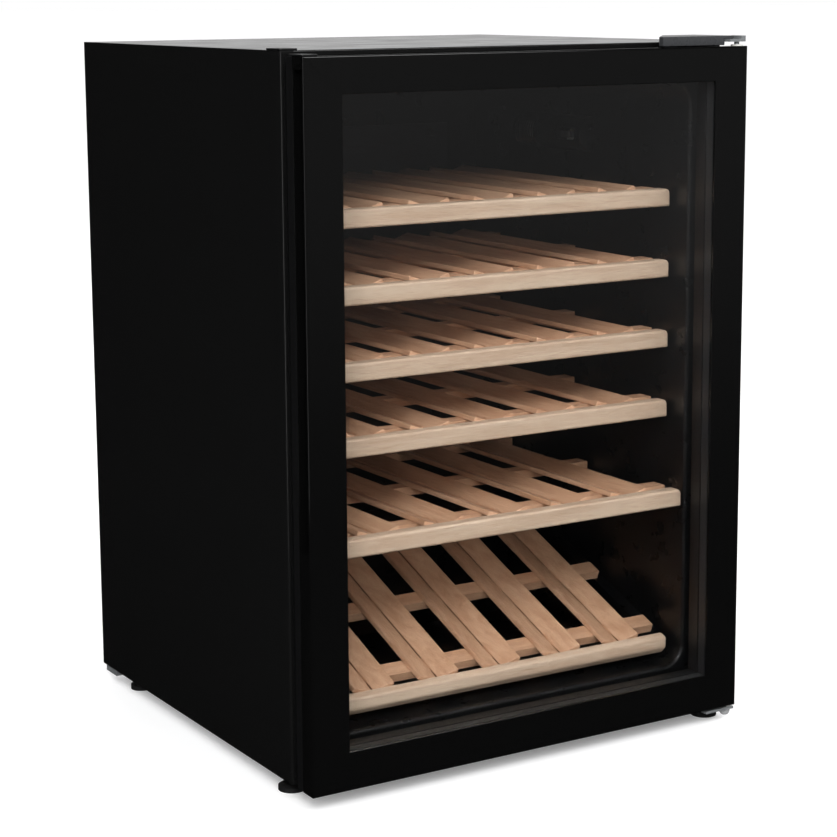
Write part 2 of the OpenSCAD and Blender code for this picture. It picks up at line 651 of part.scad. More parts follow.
module bush_ring(z0, z1, flange_z) difference() {
    union() {
        hinge_axis(z0) cylinder(r = bush_r, h = z1 - z0);
        hinge_axis(flange_z) cylinder(r = bush_r + 2, h = 1.6);
    }
    hinge_axis(z0 - 5) cylinder(r = pin_r + run_c, h = z1 - z0 + 10);
}
module hinge_bushes() color([0.75, 0.75, 0.72]) {
    bush_ring(z_bot - 1.6, z_bot + pin_len + 1, z_bot - 1.6);
    bush_ring(z_door - pin_len - 1, z_door + 1.6, z_door);
}

// ---- door ----

// section of a frame member: u from the outer edge inwards, v from the front backwards
function member(w) = concat(
    arc(edge_r, edge_r, edge_r, 180, 270),
    [[w - 0.6, 0], [w, 0.6], [w, lip_t], [w - lip_w, lip_t], [w - lip_w, frame_d], [0, frame_d]]);

// mitred outline of the four members, seen from the front
win = [-half_w + stile_w, half_w - stile_w, z_bot + rail_bottom_w, z_door - rail_top_w];
module mitre(points) along_y(y_front - 1, y_frame + 1) polygon(points);
module bush_bores() for (z = [z_bot - 1, z_door - pin_len - 1])
    hinge_axis(z) cylinder(r = bush_r, h = pin_len + 2);

module plain_stile() intersection() {
    along_z(z_bot, z_door) translate([-half_w, y_front]) polygon(member(stile_w));
    mitre([[-half_w, z_bot], [win[0], win[2]], [win[0], win[3]], [-half_w, z_door]]);
}
module door_stile_left() color(black) difference() {
    plain_stile();
    slab(-half_w - 1, -half_w + grip_deep, y_front + 3, y_front + 3 + grip_w, z_bot + grip_z,
        z_door - grip_deep);
}
module door_stile_right() color(black) difference() {
    mirror([1, 0, 0]) plain_stile();
    bush_bores();
}
module plain_rail(w) along_x(-half_w, half_w) polygon([for (p = member(w)) [y_front + p.y, p.x]]);
module door_rail_bottom() color(black) difference() {
    intersection() {
        translate([0, 0, z_bot]) plain_rail(rail_bottom_w);
        mitre([[-half_w, z_bot], [half_w, z_bot], [win[1], win[2]], [win[0], win[2]]]);
    }
    bush_bores();
}
module door_rail_top() color(black) difference() {
    intersection() {
        translate([0, 0, z_door]) mirror([0, 0, 1]) plain_rail(rail_top_w);
        mitre([[-half_w, z_door], [win[0], win[3]], [win[1], win[3]], [half_w, z_door]]);
    }
    bush_bores();
}

// a rectangular ring round the window: grown by outer and inner beyond it
module window_ring(outer, inner, y0, y1) difference() {
    slab(win[0] - outer, win[1] + outer, y0, y1, win[2] - outer, win[3] + outer);
    slab(win[0] - inner, win[1] + inner, y0 - 1, y1 + 1, win[2] - inner, win[3] + inner);
}
// a rectangular ring between two distances from the door's edges
module edge_ring(outer, inner, y0, y1) difference() {
    slab(-half_w + outer, half_w - outer, y0, y1, z_bot + outer, z_door - outer);
    slab(-half_w + inner, half_w - inner, y0 - 1, y1 + 1, z_bot + inner, z_door - inner);
}
pane = lip_w - 0.5;                    // how far the panes reach behind the frame
y_pane1 = y_front + lip_t;
y_pane2 = y_pane1 + glass_t + pane_gap;
y_pane_end = y_pane2 + glass_t;
module pane_at(y) slab(win[0] - pane, win[1] + pane, y, y + glass_t, win[2] - pane, win[3] + pane);
module glass_outer() color([0.25, 0.27, 0.28, 0.35]) pane_at(y_pane1);
module glass_inner() color([0.25, 0.27, 0.28, 0.35]) pane_at(y_pane2);
module glazing_spacer() color([0.10, 0.10, 0.10]) window_ring(pane, 0, y_pane1 + glass_t, y_pane2);
module retaining_frame() color(black) {
    difference() {
        slab(-half_w + 0.5, half_w - 0.5, y_frame, y_door, z_bot + 0.5, z_door - 0.5);
        slab(win[0], win[1], y_frame - 1, y_door + 1, win[2], win[3]);
    }
    window_ring(pane, 0, y_pane_end, y_frame + eps);
}
// bellows seal with a wide foot and a magnet head
module door_gasket() color([0.16, 0.16, 0.16]) {
    edge_ring(gasket_in, gasket_in + gasket_w, y_door, y_door + 2);
    edge_ring(gasket_in + 2, gasket_in + gasket_w - 2, y_door + 2 - eps, y_cab - 4);
    edge_ring(gasket_in, gasket_in + gasket_w, y_cab - 4 - eps, y_cab - 0.5);
}
module door_plug() color(black)
    along_z(z_door, z_door + 1.8) round_rect(-half_w + 1, -half_w + 20, y_front + 3, y_door - 3, 2);

// ---- shelves ----

// one slat of a cradle, from y0 to y1, grown all round by grow and upwards by rise
module slat(y0, y1, grow = 0, rise = 0) translate([slat_x, 0, -slat_low]) rotate([0, -slat_tilt, 0])
    slab(-grow, slat_w + grow, y0, y1, -slat_t - grow, rise);
module each_cradle() for (k = [0:cradles - 1])
    translate([(k - (cradles - 1) / 2) * cradle_pitch, 0, 0]) both_sides() children();

// slats on notched cross battens; the top of the fascia is at z = 0
glue_t = 0.1;
module rack(len, half_len) {
    each_cradle() slat(fascia_t, len);
    for (y = [fascia_t + batten_in, (fascia_t + len - batten_w) / 2, len - batten_w - 6]) difference() {
        slab(-half_len, half_len, y, y + batten_w, -batten_low, -batten_top);
        each_cradle() slat(y - 1, y + batten_w + 1, glue_t, slat_w);
    }
}
module fascia() intersection() {
    along_x(-shelf_x, shelf_x) polygon(concat(
        arc(fascia_r, -fascia_h + fascia_r, fascia_r, 270, 180), arc(fascia_r, -fascia_r, fascia_r, 180, 90),
        [[fascia_t, 0], [fascia_t, -fascia_h]]));
    along_z(-fascia_h - 1, 1) polygon(concat(
        [[shelf_x, fascia_t]], [[-shelf_x, fascia_t]],
        arc(-shelf_x + fascia_r, fascia_r, fascia_r, 180, 270),
        arc(shelf_x - fascia_r, fascia_r, fascia_r, 270, 360)));
}
module shelf_place(n) translate([0, y_shelf - shelf_out[n], shelf_z[n]]) children();
module shelf_fascia(n) color(beech) shelf_place(n) fascia();
module shelf_rack(n) color(beech) shelf_place(n) rack(shelf_d, shelf_x);

// the fixed sloping shelf at the bottom, its front edge crowned
module display_place() translate([0, y_display, z_bot + display_z]) rotate([display_tilt, 0, 0]) children();
module display_fascia() color(beech) display_place() along_x(-display_x, display_x)
    polygon([[fascia_t, 0], [5, 0], [0, 11], [4, display_h], [fascia_t, display_h]]);
module display_rack() color(beech) display_place() translate([0, 0, display_h])
    rack(display_len, display_x);

side_panel_left();
side_panel_right();
top_panel();
back_panel();
bottom_panel();
front_crossmember();
compressor_tray();
compartment_cover();
power_inlet();
inner_liner();
insulation_foam();
evaporator_plate();
evaporator_clips();
control_housing();
thermostat_body();
thermostat_dial();
led_board();
lamp_lens();
compressor();
terminal_box();
compressor_grommets();
compressor_bolts();
condenser_tube();
filter_drier();
refrigerant_pipes();
drip_tray();
drain_tube();
hinge_plate_top();
hinge_cover_top();
hinge_bracket_bottom();
hinge_pin_bottom();
hinge_screws();
blanking_cap();
rear_feet();
front_foot_left();
front_foot_right();
door_stile_left();
door_stile_right();
door_rail_top();
door_rail_bottom();
glass_outer();
glass_inner();
glazing_spacer();
retaining_frame();
door_gasket();
hinge_bushes();
door_plug();
for (n = [0:4]) {
    shelf_fascia(n);
    shelf_rack(n);
}
display_fascia();
display_rack();
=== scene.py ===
"""Looks of a free-standing wine cooler with a glass door and beech shelves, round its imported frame."""

import json
import math

import bmesh
import bpy
from bpy.props import FloatProperty, FloatVectorProperty, PointerProperty
from mathutils import Matrix, Vector

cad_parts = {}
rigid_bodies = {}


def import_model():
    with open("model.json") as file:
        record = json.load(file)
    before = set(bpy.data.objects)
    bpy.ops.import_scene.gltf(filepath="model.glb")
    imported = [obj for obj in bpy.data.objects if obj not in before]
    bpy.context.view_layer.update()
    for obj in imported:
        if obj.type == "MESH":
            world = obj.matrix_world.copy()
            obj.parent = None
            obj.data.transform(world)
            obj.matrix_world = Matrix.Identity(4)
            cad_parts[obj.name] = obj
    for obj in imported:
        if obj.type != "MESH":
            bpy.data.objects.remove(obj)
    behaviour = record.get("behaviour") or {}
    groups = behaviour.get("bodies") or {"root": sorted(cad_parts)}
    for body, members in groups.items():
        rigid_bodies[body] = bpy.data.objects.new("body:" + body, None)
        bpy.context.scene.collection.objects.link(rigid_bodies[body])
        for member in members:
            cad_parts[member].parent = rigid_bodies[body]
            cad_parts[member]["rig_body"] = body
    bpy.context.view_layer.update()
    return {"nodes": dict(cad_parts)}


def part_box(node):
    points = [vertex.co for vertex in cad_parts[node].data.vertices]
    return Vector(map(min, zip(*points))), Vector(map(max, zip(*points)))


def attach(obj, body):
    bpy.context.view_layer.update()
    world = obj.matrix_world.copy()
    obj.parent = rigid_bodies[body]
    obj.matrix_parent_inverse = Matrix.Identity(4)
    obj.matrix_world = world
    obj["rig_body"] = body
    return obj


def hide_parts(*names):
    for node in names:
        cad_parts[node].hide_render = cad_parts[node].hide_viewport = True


bl_info = {
    "name": "Wine cooler",
    "version": (1, 0, 0),
    "blender": (4, 5, 0),
    "location": "3D View > Sidebar > Wine cooler",
    "description": "Models a free-standing wine cooler with a glass door and beech shelves",
    "category": "Object",
}

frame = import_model()
MM = 0.001
SHELVES = range(1, 6)


def linear(hex_colour):
    """Linear RGBA of an sRGB hex colour."""
    channels = [int(hex_colour[i : i + 2], 16) / 255 for i in (0, 2, 4)]
    return [c / 12.92 if c <= 0.04045 else ((c + 0.055) / 1.055) ** 2.4 for c in channels] + [1.0]


def size(name, about, default, low=0.0, high=1.0):
    """A length in metres that the sidebar shows."""
    return FloatProperty(name=name, description=about, default=default, min=low, max=high, unit="LENGTH")


def colour(name, about, hex_colour):
    """A colour that the sidebar shows."""
    return FloatVectorProperty(
        name=name, description=about, default=linear(hex_colour), size=4, subtype="COLOR", min=0, max=1
    )


class CoolerSizes(bpy.types.PropertyGroup):
    """Sizes of what is modelled here; everything else comes from the frame."""

    edge: size("Eased edge", "Radius of the eased edges of moulded and folded pieces", 0.35 * MM)
    fold: size("Fold radius", "Outer radius of the top panel's folded edges", 1.6 * MM)
    sheet: size("Sheet", "Thickness of the steel sheet", 0.8 * MM)
    liner_edge: size("Liner edge", "Radius of the liner's front edge", 5 * MM)
    glass_edge: size("Glass edge", "Width of the ground edges of the panes", 0.5 * MM)
    fascia_edge: size("Fascia edge", "Radius of the fascias' front edges", 3.2 * MM)
    fascia_end: size("Fascia end", "Radius of the fascias' upper corners", 6 * MM)
    crown_edge: size("Crown edge", "Radius of the display fascia's edges", 2.4 * MM)
    cover_edge: size("Cover edge", "Radius of the hinge cover's edges", 1.4 * MM)
    housing_end: size("Housing end", "Radius of the control housing's near end", 5 * MM)
    gasket_width: size("Gasket width", "Width of the seal's foot and of its magnet pocket", 11 * MM)
    gasket_neck: size("Gasket neck", "Width of the seal's folding neck", 3 * MM)
    gasket_fold: size("Gasket fold", "Width of the seal's fold", 8 * MM)
    gasket_edge: size("Gasket edge", "Radius of the seal's edges", 0.8 * MM)
    slat_width: size("Slat width", "Width of a slat", 27 * MM)
    slat_thickness: size("Slat thickness", "Thickness of a slat", 6 * MM)
    slat_edge: size("Slat edge", "Radius of the slats' edges", 1.2 * MM)
    slat_tilt: FloatProperty(
        name="Slat tilt",
        description="Tilt of a slat",
        default=math.radians(19),
        subtype="ANGLE",
        unit="ROTATION",
    )
    slat_gap: size("Slat gap", "Gap in the middle of a cradle", 1.5 * MM)
    slat_low: size("Slat depth", "Lowest line of a cradle below the fascia's top", 4 * MM)
    cradle_pitch: size("Cradle pitch", "Distance between two bottle cradles", 88 * MM)
    batten_width: size("Batten width", "Width of a cross batten", 22 * MM)
    batten_set: size("Batten inset", "Distance of the first batten from the fascia", 18 * MM)
    display_front: size("Display front", "Foot of the display shelf's front, ahead of the middle", 218 * MM)
    display_foot: size("Display foot", "Foot of the display shelf's front, above the ground", 76 * MM)
    display_height: size("Display height", "Height of the display fascia", 24 * MM)
    display_depth: size("Display depth", "Thickness of the display fascia", 16 * MM)
    display_length: size("Display length", "Length of the display shelf down its slope", 318 * MM)
    display_tilt: FloatProperty(
        name="Display tilt",
        description="Slope of the display shelf",
        default=math.radians(20.5),
        subtype="ANGLE",
        unit="ROTATION",
    )


class CoolerColours(bpy.types.PropertyGroup):
    """Colours of the finishes."""

    lacquer: colour("Lacquer", "Lacquered steel of the cabinet", "0d0d0d")
    gloss: colour("Gloss film", "Gloss film on the door frame", "060606")
    liner: colour("Liner", "Moulded liner", "0e0f10")
    beech_light: colour("Beech, early wood", "Lighter tone of the beech", "d9c3ab")
    beech_dark: colour("Beech, late wood", "Darker tone of the beech", "c4a88f")
    beech_fleck: colour("Beech flecks", "Ray flecks of the beech", "a07a5e")
    # painted shade: the slats and battens are the fascias' beech drawn darker and more orange, as it looks in
    # shadow with warm light bounced off the wood
    slat_light_painted_shade: colour("Slats, early wood", "Lighter tone of the slats", "d6ae8e")
    slat_dark_painted_shade: colour("Slats, late wood", "Darker tone of the slats", "bc9070")
    glass: colour("Glass", "Tint of the panes", "eaeaea")


# ---- finishes ----


def add_node(tree, kind, inputs=(), **settings):
    """Adds a node, sets its properties, and sets or links its inputs."""
    made = tree.nodes.new(kind)
    for key, value in settings.items():
        setattr(made, key, value)
    for key, value in dict(inputs).items():
        if isinstance(value, bpy.types.NodeSocket):
            tree.links.new(value, made.inputs[key])
        else:
            made.inputs[key].default_value = value
    return made


def surface(name, **constants):
    """A material with one Principled shader, given with its tree, its shader and the place on the piece."""
    material = bpy.data.materials.new(name)
    material.use_nodes = True
    tree = material.node_tree
    tree.nodes.clear()
    values = {key.replace("_", " "): value for key, value in constants.items()}
    shader = add_node(tree, "ShaderNodeBsdfPrincipled", values)
    add_node(tree, "ShaderNodeOutputMaterial", {"Surface": shader.outputs["BSDF"]})
    place = add_node(tree, "ShaderNodeTexCoord").outputs["Object"]
    return material, tree, shader, place


def per_metre(millimetres):
    """Scale of a noise whose features are about that size."""
    return 1 / (millimetres * MM)


def uneven_gloss(tree, shader, place, grain, low, high):
    """Roughness that wanders between low and high over that many millimetres."""
    noise = add_node(tree, "ShaderNodeTexNoise", {"Vector": place, "Scale": per_metre(grain), "Detail": 4.0})
    spread = add_node(
        tree,
        "ShaderNodeMapRange",
        {"Value": noise.outputs["Fac"], "From Min": 0.3, "From Max": 0.7, "To Min": low, "To Max": high},
    )
    tree.links.new(spread.outputs["Result"], shader.inputs["Roughness"])


def uneven_colour(tree, shader, place, grain, first, second):
    """Base colour that wanders between two tones over that many millimetres."""
    noise = add_node(tree, "ShaderNodeTexNoise", {"Vector": place, "Scale": per_metre(grain), "Detail": 5.0})
    mix = add_node(tree, "ShaderNodeMix", data_type="RGBA")
    tree.links.new(noise.outputs["Fac"], mix.inputs["Factor"])
    mix.inputs["A"].default_value = first
    mix.inputs["B"].default_value = second
    tree.links.new(mix.outputs["Result"], shader.inputs["Base Color"])


def dimples(tree, shader, place, grain, depth):
    """Bumps of that size and depth, both in millimetres."""
    noise = add_node(tree, "ShaderNodeTexNoise", {"Vector": place, "Scale": per_metre(grain), "Detail": 3.0})
    bump = add_node(tree, "ShaderNodeBump", {"Height": noise.outputs["Fac"], "Distance": depth * MM})
    tree.links.new(bump.outputs["Normal"], shader.inputs["Normal"])


def lacquered_steel(colours):
    """Cold-rolled sheet with stoved black lacquer: satin, with the faint orange peel of sprayed paint."""
    material, tree, shader, place = surface("lacquered_steel", Base_Color=colours.lacquer, IOR=1.5)
    uneven_gloss(tree, shader, place, 60, 0.16, 0.24)
    dimples(tree, shader, place, 2.5, 0.004)
    return material


def gloss_film(colours):
    """High-gloss black film over the door's profiles: mirror-like, slightly wavy over a long distance."""
    material, tree, shader, place = surface("gloss_film", Base_Color=colours.gloss, IOR=1.5)
    uneven_gloss(tree, shader, place, 90, 0.04, 0.08)
    dimples(tree, shader, place, 40, 0.01)
    return material


def moulded_black():
    """Black ABS with a fine spark-eroded texture from the mould: low satin."""
    material, tree, shader, place = surface("moulded_black_abs", Base_Color=linear("0c0c0d"), IOR=1.5)
    uneven_gloss(tree, shader, place, 8, 0.38, 0.5)
    dimples(tree, shader, place, 0.9, 0.02)
    return material


def moulded_grey():
    """Dark grey ABS of the hinge cover, smooth from a polished mould."""
    material, tree, shader, place = surface("moulded_grey_abs", Base_Color=linear("343537"), IOR=1.5)
    uneven_gloss(tree, shader, place, 12, 0.24, 0.34)
    dimples(tree, shader, place, 1.2, 0.01)
    return material


def moulded_white():
    """White ABS of the inner fittings: smooth satin, a little yellowed."""
    material, tree, shader, place = surface("moulded_white_abs", IOR=1.5)
    uneven_colour(tree, shader, place, 25, linear("e4e3de"), linear("d9d8d2"))
    uneven_gloss(tree, shader, place, 10, 0.32, 0.42)
    return material


def liner_sheet(colours):
    """Vacuum-formed black polystyrene liner: softly glossy, stretched a little unevenly over its mould."""
    material, tree, shader, place = surface("formed_polystyrene", Base_Color=colours.liner, IOR=1.45)
    uneven_gloss(tree, shader, place, 30, 0.26, 0.33)
    dimples(tree, shader, place, 60, 0.003)
    return material


def cold_enamel():
    """Roll-bonded aluminium plate with dark enamel: satin, with a fine grain."""
    material, tree, shader, place = surface("enamelled_plate", Base_Color=linear("17181a"), IOR=1.5)
    uneven_gloss(tree, shader, place, 15, 0.34, 0.46)
    dimples(tree, shader, place, 1.5, 0.01)
    return material


def zinc_plate():
    """Bright zinc-plated steel: soft metal sheen with the cloudy spangle of the plating. Like the chrome, it
    is a little less than all metal, because the pale room isn't mirrored here."""
    material, tree, shader, place = surface("zinc_plated_steel", Metallic=0.8)
    uneven_colour(tree, shader, place, 9, linear("a4a8ab"), linear("c2c5c7"))
    uneven_gloss(tree, shader, place, 5, 0.3, 0.46)
    return material


def chrome_plate():
    """Chrome-plated steel: a bright mirror with the softest haze. It is a little less than all metal, so that
    the pale room, which nothing mirrors here, still lights it."""
    material, tree, shader, place = surface("chrome_plated_steel", Base_Color=linear("e6e7e8"), Metallic=0.7)
    uneven_gloss(tree, shader, place, 4, 0.07, 0.13)
    return material


def drawn_copper():
    """Drawn copper tube: warm metal, dulled in patches by handling."""
    material, tree, shader, place = surface("drawn_copper", Metallic=1.0)
    uneven_colour(tree, shader, place, 14, linear("b5765a"), linear("c98e70"))
    uneven_gloss(tree, shader, place, 6, 0.28, 0.44)
    return material


def foamed_core():
    """Rigid polyurethane foam: pale yellow, matt, with closed cells about a millimetre wide."""
    material, tree, shader, place = surface("polyurethane_foam", IOR=1.4)
    uneven_colour(tree, shader, place, 5, linear("d9cc9a"), linear("e6dcb4"))
    uneven_gloss(tree, shader, place, 3, 0.85, 0.95)
    dimples(tree, shader, place, 1.2, 0.3)
    return material


def soft_rubber():
    """Black PVC and EPDM of the seal, feet and grommets: matt, with a faint bloom."""
    material, tree, shader, place = surface("black_rubber", IOR=1.5)
    uneven_colour(tree, shader, place, 12, linear("0b0b0c"), linear("121213"))
    uneven_gloss(tree, shader, place, 6, 0.55, 0.7)
    dimples(tree, shader, place, 0.8, 0.02)
    return material


def smoked_dial():
    """Polished grey ABS of the thumbwheel: glossy moulding."""
    material, tree, shader, place = surface("polished_grey_abs", Base_Color=linear("5c5d5f"), IOR=1.5)
    uneven_gloss(tree, shader, place, 5, 0.14, 0.22)
    dimples(tree, shader, place, 2, 0.01)
    return material


def black_anodised():
    """Black anodised aluminium of the glazing spacer: satin, with the faint grain of the drawn bar."""
    material, tree, shader, place = surface("black_anodised_aluminium", Base_Color=linear("161617"), IOR=1.5)
    uneven_gloss(tree, shader, place, 4, 0.36, 0.5)
    dimples(tree, shader, place, 1.0, 0.02)
    return material


def compressor_paint():
    """Black dip paint on the deep-drawn compressor pot: glossy with soft runs."""
    material, tree, shader, place = surface("dipped_black_paint", Base_Color=linear("0d0d0e"), IOR=1.5)
    uneven_gloss(tree, shader, place, 18, 0.14, 0.28)
    dimples(tree, shader, place, 6, 0.05)
    return material


def float_glass(colours):
    """Clear toughened float glass: no colour head-on and a sharp reflection."""
    return surface(
        "float_glass", Base_Color=colours.glass, Transmission_Weight=1.0, Roughness=0.0, IOR=1.5
    )[0]


def clear_plastic():
    """Clear polycarbonate of the lamp lens: water-clear with moulded ribs that catch the light."""
    material, tree, shader, place = surface(
        "clear_polycarbonate", Base_Color=linear("e9eef0"), Transmission_Weight=1.0, Roughness=0.08, IOR=1.58
    )
    dimples(tree, shader, place, 3, 0.02)
    return material


def beech(name, stretch, light, dark, fleck_tone):
    """Steamed beech, planed and satin-lacquered: pinkish straw, fine straight grain and short dark flecks.
    stretch is the scale of the figure along each axis, and a small one draws it out."""
    material, tree, shader, place = surface(name, IOR=1.5)
    along = add_node(tree, "ShaderNodeMapping", {"Vector": place, "Scale": stretch}).outputs["Vector"]
    # growth rings seen flat: bands some 9 mm wide that run the length of the piece
    rings = add_node(
        tree, "ShaderNodeTexNoise", {"Vector": along, "Scale": per_metre(9), "Detail": 3.0, "Distortion": 0.6}
    )
    # fibres: fine lines, drawn 1.1 mm apart, coarser than real ones so that they show
    fibres = add_node(tree, "ShaderNodeTexNoise", {"Vector": along, "Scale": per_metre(1.1), "Detail": 5.0})
    both = add_node(
        tree,
        "ShaderNodeMix",
        {"Factor": 0.42, "A": rings.outputs["Fac"], "B": fibres.outputs["Fac"]},
    )
    spread = add_node(
        tree,
        "ShaderNodeMapRange",
        {"Value": both.outputs["Result"], "From Min": 0.36, "From Max": 0.64},
    )
    tone = add_node(tree, "ShaderNodeMix", data_type="RGBA")
    tree.links.new(spread.outputs["Result"], tone.inputs["Factor"])
    tone.inputs["A"].default_value = light
    tone.inputs["B"].default_value = dark
    # ray flecks: spindles about 3 mm long and 0.6 mm wide
    flecks = add_node(
        tree, "ShaderNodeTexVoronoi", {"Vector": along, "Scale": per_metre(2.4), "Randomness": 1.0}
    )
    fleck = add_node(
        tree,
        "ShaderNodeMapRange",
        {
            "Value": flecks.outputs["Distance"],
            "From Min": 0.22,
            "From Max": 0.1,
            "To Min": 0.0,
            "To Max": 0.5,
        },
    )
    speckled = add_node(tree, "ShaderNodeMix", data_type="RGBA")
    tree.links.new(fleck.outputs["Result"], speckled.inputs["Factor"])
    tree.links.new(tone.outputs["Result"], speckled.inputs["A"])
    speckled.inputs["B"].default_value = fleck_tone
    tree.links.new(speckled.outputs["Result"], shader.inputs["Base Color"])
    gloss = add_node(
        tree,
        "ShaderNodeMapRange",
        {"Value": fibres.outputs["Fac"], "From Min": 0.3, "From Max": 0.7, "To Min": 0.42, "To Max": 0.58},
    )
    tree.links.new(gloss.outputs["Result"], shader.inputs["Roughness"])
    bump = add_node(tree, "ShaderNodeBump", {"Height": fibres.outputs["Fac"], "Distance": 0.03 * MM})
    tree.links.new(bump.outputs["Normal"], shader.inputs["Normal"])
    return material


FINISHES = {}


def finish(name):
    """The material of that name, made the first time that it is asked for."""
    if name not in FINISHES:
        colours = bpy.context.scene.cooler_colours
        makers = {
            "lacquer": lambda: lacquered_steel(colours),
            "gloss": lambda: gloss_film(colours),
            "black": moulded_black,
            "grey": moulded_grey,
            "white": moulded_white,
            "liner": lambda: liner_sheet(colours),
            "cold": cold_enamel,
            "zinc": zinc_plate,
            "chrome": chrome_plate,
            "copper": drawn_copper,
            "foam": foamed_core,
            "rubber": soft_rubber,
            "dial": smoked_dial,
            "spacer": black_anodised,
            "pot": compressor_paint,
            "glass": lambda: float_glass(colours),
            "lens": clear_plastic,
            "beech_fascia": lambda: beech(
                "beech_fascia", (0.06, 1.0, 1.0), colours.beech_light, colours.beech_dark, colours.beech_fleck
            ),
            # slats and battens: the same beech as the fascias, in colours with painted shade, darker and more
            # orange
            "beech_slats_painted_shade": lambda: beech(
                "beech_slats_painted_shade", (1.0, 0.06, 1.0), colours.slat_light_painted_shade, colours.slat_dark_painted_shade, colours.beech_fleck
            ),
            "beech_battens_painted_shade": lambda: beech(
                "beech_battens_painted_shade", (0.06, 1.0, 1.0), colours.slat_light_painted_shade, colours.slat_dark_painted_shade, colours.beech_fleck
            ),
        }
        FINISHES[name] = makers[name]()
    return FINISHES[name]


# ---- modelling helpers ----


def only(piece):
    """Selects this piece alone and makes it the active one."""
    bpy.ops.object.select_all(action="DESELECT")
    piece.select_set(True)
    bpy.context.view_layer.objects.active = piece
    return piece


def settled(name):
    """Names the piece just made and moves its place into its mesh."""
    piece = bpy.context.object
    piece.name = name
    piece.data.name = name
    only(piece)
    bpy.ops.object.transform_apply(location=True, rotation=True, scale=True)
    return piece


def block(name, low, high):
    """A box between two corners."""
    low, high = Vector(low), Vector(high)
    bpy.ops.object.select_all(action="DESELECT")
    bpy.ops.mesh.primitive_cube_add(size=1, location=(low + high) / 2, scale=high - low)
    return settled(name)


def pick(piece, kind, test):
    """Enters edit mode with only the vertices, edges or faces selected that pass the test."""
    only(piece)
    bpy.ops.object.mode_set(mode="EDIT")
    bpy.ops.mesh.select_mode(type=kind)
    bpy.ops.mesh.select_all(action="DESELECT")
    edit = bmesh.from_edit_mesh(piece.data)
    parts = {"VERT": edit.verts, "EDGE": edit.edges, "FACE": edit.faces}[kind]
    chosen = [part for part in parts if test(part)]
    if not chosen:
        raise RuntimeError(f"nothing to pick on {piece.name}")
    for part in chosen:
        part.select_set(True)
    edit.select_flush_mode()
    bmesh.update_edit_mesh(piece.data)


def leave_edit():
    bpy.ops.object.mode_set(mode="OBJECT")


def modified(piece, kind, **settings):
    """Adds a modifier and applies it."""
    only(piece)
    modifier = piece.modifiers.new(kind.title(), kind)
    for key, value in settings.items():
        setattr(modifier, key, value)
    bpy.ops.object.modifier_apply(modifier=modifier.name)
    return piece


def eased(piece, width, segments=2, angle=30):
    """Rounds every edge sharper than the angle and shades the rest smooth."""
    modified(
        piece,
        "BEVEL",
        width=width,
        segments=segments,
        limit_method="ANGLE",
        angle_limit=math.radians(angle),
        use_clamp_overlap=True,
    )
    return shaded(piece)


def shaded(piece):
    """Shades round faces smooth and keeps the large flat ones flat."""
    only(piece)
    bpy.ops.object.shade_smooth_by_angle(angle=math.radians(40))
    return modified(piece, "WEIGHTED_NORMAL", keep_sharp=True)


def dressed(piece, material, body, slot, *nodes):
    """Gives the piece its finish and its body, and hides the nodes that it stands for. The slot is not used.
    """
    piece.data.materials.clear()
    piece.data.materials.append(finish(material))
    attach(piece, body)
    if nodes:
        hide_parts(*nodes)
    return piece


def merged_copy(node, name):
    """A copy of a CAD node with its loose triangles merged and its flat faces whole."""
    source = frame["nodes"][node]
    piece = bpy.data.objects.new(name, source.data.copy())
    bpy.context.scene.collection.objects.link(piece)
    piece.data.name = name
    pick(piece, "VERT", lambda vertex: True)
    bpy.ops.mesh.remove_doubles(threshold=0.01 * MM)
    bpy.ops.mesh.dissolve_limited(angle_limit=math.radians(0.5))
    bpy.ops.mesh.customdata_custom_splitnormals_clear()
    leave_edit()
    return piece


def refined(node, name, material, slot, width):
    """A CAD node's shape with eased edges, in place of the node."""
    piece = eased(merged_copy(node, name), width)
    return dressed(piece, material, frame["nodes"][node]["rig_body"], slot, node)


def smoothed(node, name, material, slot):
    """A CAD node's shape with its round faces shaded smooth, in place of the node."""
    piece = shaded(merged_copy(node, name))
    return dressed(piece, material, frame["nodes"][node]["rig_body"], slot, node)


def painted(node, material):
    """A CAD node whose shape is right keeps it, with a better finish."""
    mesh = frame["nodes"][node].data
    mesh.materials.clear()
    mesh.materials.append(finish(material))


def copies(piece, places, name):
    """Joins copies of a piece at the places, each a matrix, into one piece in its stead."""
    made = []
    for place in places:
        twin = piece.copy()
        twin.data = piece.data.copy()
        bpy.context.scene.collection.objects.link(twin)
        twin.data.transform(place)
        made.append(twin)
    bpy.data.objects.remove(piece)
    only(made[0])
    for twin in made:
        twin.select_set(True)
    bpy.ops.object.join()
    made[0].name = made[0].data.name = name
    return made[0]


# ---- cabinet ----


class CoolerOperator:
    """What all the operators share."""

    bl_options = {"REGISTER", "UNDO"}

    def execute(self, context):
        self.build(context.scene.cooler_sizes)
        return {"FINISHED"}


